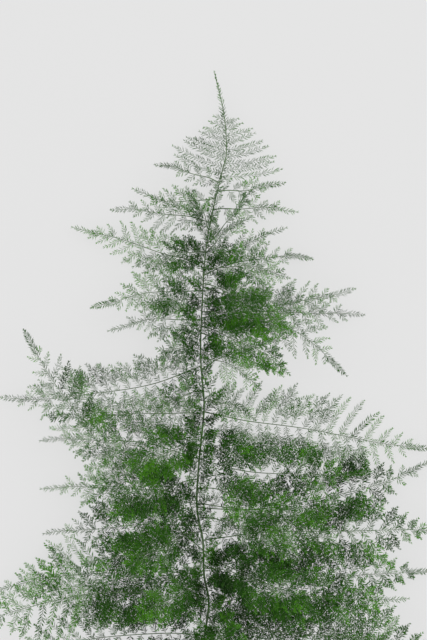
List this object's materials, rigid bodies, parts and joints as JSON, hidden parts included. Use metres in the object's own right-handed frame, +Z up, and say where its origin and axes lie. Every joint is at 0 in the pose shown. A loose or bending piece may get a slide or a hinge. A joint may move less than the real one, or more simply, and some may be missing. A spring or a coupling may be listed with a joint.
{
  "type": "asparagus fern sprig",
  "caption": "Cut sprig of asparagus fern lying on a surface: a slim green stem whose side fronds carry feathery twigs of fine needles.",
  "frame": {"origin": "on the surface that the sprig lies on, under the middle of its box", "axes": "+Y from the cut end to the sprig's tip, +X to the right in the picture, +Z up from the surface"},
  "size_m": [0.419, 0.5986, 0.0778],
  "materials": {
    "stem_green": "satin green bark, smooth",
    "frond_green": "matte leafy green",
    "tuft_green": "matte leafy green, a little lighter"
  },
  "bodies": {
    "root": {"frond_left_01": "frond_green", "frond_left_02": "frond_green", "frond_left_03": "frond_green", "frond_left_04": "frond_green", "frond_left_05": "frond_green", "frond_left_06": "frond_green", "frond_left_07": "frond_green", "frond_left_08": "frond_green", "frond_left_09": "frond_green", "frond_left_10": "frond_green", "frond_left_11": "frond_green", "frond_left_12": "frond_green", "frond_left_13": "frond_green", "frond_left_14": "frond_green", "frond_left_15": "frond_green", "frond_left_16": "frond_green", "frond_right_01": "frond_green", "frond_right_02": "frond_green", "frond_right_03": "frond_green", "frond_right_04": "frond_green", "frond_right_05": "frond_green", "frond_right_06": "frond_green", "frond_right_07": "frond_green", "frond_right_08": "frond_green", "frond_right_09": "frond_green", "frond_right_10": "frond_green", "frond_right_11": "frond_green", "frond_right_12": "frond_green", "frond_right_13": "frond_green", "frond_right_14": "frond_green", "frond_right_15": "frond_green", "frond_right_16": "frond_green", "frond_right_17": "frond_green", "frond_right_18": "frond_green", "frond_right_19": "frond_green", "main_stem": "stem_green", "side_shoot": "frond_green", "tuft_01": "tuft_green", "tuft_02": "tuft_green", "tuft_03": "tuft_green", "tuft_04": "tuft_green", "tuft_05": "tuft_green", "tuft_06": "tuft_green", "tuft_07": "tuft_green", "tuft_08": "tuft_green", "tuft_09": "tuft_green", "tuft_10": "tuft_green", "tuft_11": "tuft_green", "tuft_12": "tuft_green", "tuft_13": "tuft_green", "tuft_14": "tuft_green", "tuft_15": "tuft_green", "tuft_16": "tuft_green", "tuft_17": "tuft_green", "tuft_18": "tuft_green", "tuft_19": "tuft_green", "tuft_20": "tuft_green", "tuft_21": "tuft_green", "tuft_22": "tuft_green", "tuft_23": "tuft_green"}
  },
  "joints": []
}
